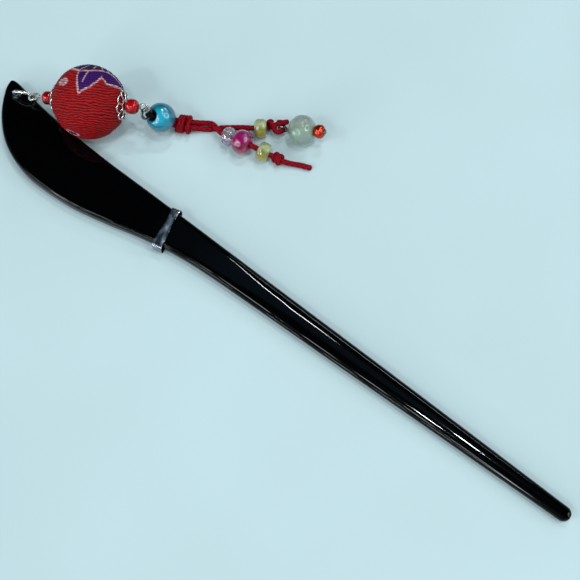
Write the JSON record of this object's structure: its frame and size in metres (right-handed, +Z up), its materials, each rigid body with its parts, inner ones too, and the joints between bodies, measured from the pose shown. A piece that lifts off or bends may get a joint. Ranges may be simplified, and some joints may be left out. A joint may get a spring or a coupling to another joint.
{
  "type": "hair stick with a hanging ornament",
  "caption": "Curved black hair stick with a fabric ball and a knotted cord of glass beads that hang from its blade's end.",
  "frame": {"origin": "on the surface that the stick lies on, under the middle of the rigid pieces' box (the cord and what is on it not counted)", "axes": "+X along the stick from the blade's end to the shaft's tip, +Y to the side where the ornament lies, +Z up from the surface"},
  "size_m": [0.18, 0.0586, 0.019],
  "materials": {
    "black_plastic": "polished black, with soft moulding waves",
    "silver_strip": "bright, a little crumpled",
    "silver_wire": "plated silver",
    "dark_wire": "darkened plating",
    "red_glass": "clear red, polished",
    "red_crepe": "ribbed crepe with printed flowers",
    "blue_glass": "silky turquoise glass",
    "red_cord": "braided",
    "clear_glass": "polished",
    "magenta_glass": "polished",
    "yellow_glass": "pearly, with an amber tint",
    "pale_glass": "cloudy, polished",
    "orange_metallic": "metallic lustre"
  },
  "bodies": {
    "root": {"stick": "black_plastic", "band": "silver_strip", "tip_ring": "silver_wire", "eye_pin": "silver_wire", "red_bead_left": "red_glass", "cap_left": "silver_wire", "fabric_ball": "red_crepe", "cap_right": "silver_wire", "red_bead_right": "red_glass", "link_ring": "dark_wire", "blue_bead": "blue_glass", "cord_lower": "red_cord", "cord_upper": "red_cord", "knot_main": "red_cord", "clear_bead": "clear_glass", "magenta_bead": "magenta_glass", "yellow_bead_lower": "yellow_glass", "knot_lower": "red_cord", "yellow_bead_upper": "yellow_glass", "knot_upper": "red_cord", "head_pin": "dark_wire", "pale_bead": "pale_glass", "end_bead": "orange_metallic"}
  },
  "joints": []
}
